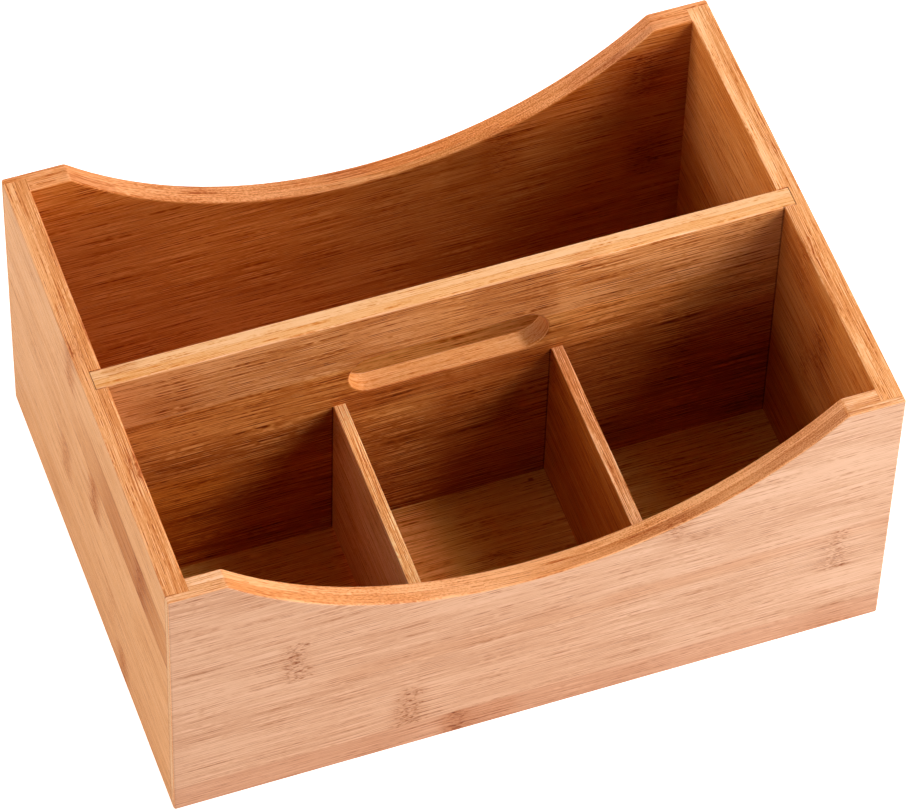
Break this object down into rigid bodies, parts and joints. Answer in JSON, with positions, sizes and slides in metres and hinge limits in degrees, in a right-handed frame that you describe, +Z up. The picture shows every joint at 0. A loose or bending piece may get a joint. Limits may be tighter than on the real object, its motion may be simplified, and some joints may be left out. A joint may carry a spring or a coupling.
{
  "type": "coffee station organizer",
  "caption": "Open bamboo box with arched front and back walls, a slotted carrying divider, a wide back bay and narrow front bays.",
  "frame": {"origin": "on the table, under the middle of the box", "axes": "+X along the front to the right, +Y from the front towards the back, +Z up; the front is the side with the three small bays"},
  "size_m": [0.305, 0.2206, 0.145],
  "materials": {
    "bamboo_walls": "satin clear lacquer over warm carbonised bamboo",
    "bamboo_divider": "satin clear lacquer over warm carbonised bamboo",
    "bamboo_thin_board": "satin clear lacquer over warm carbonised bamboo"
  },
  "bodies": {
    "root": {"front_panel": "bamboo_walls", "back_panel": "bamboo_walls", "left_side": "bamboo_walls", "right_side": "bamboo_walls", "bottom_panel": "bamboo_thin_board", "center_divider": "bamboo_divider", "left_partition": "bamboo_thin_board", "right_partition": "bamboo_thin_board"}
  },
  "joints": []
}
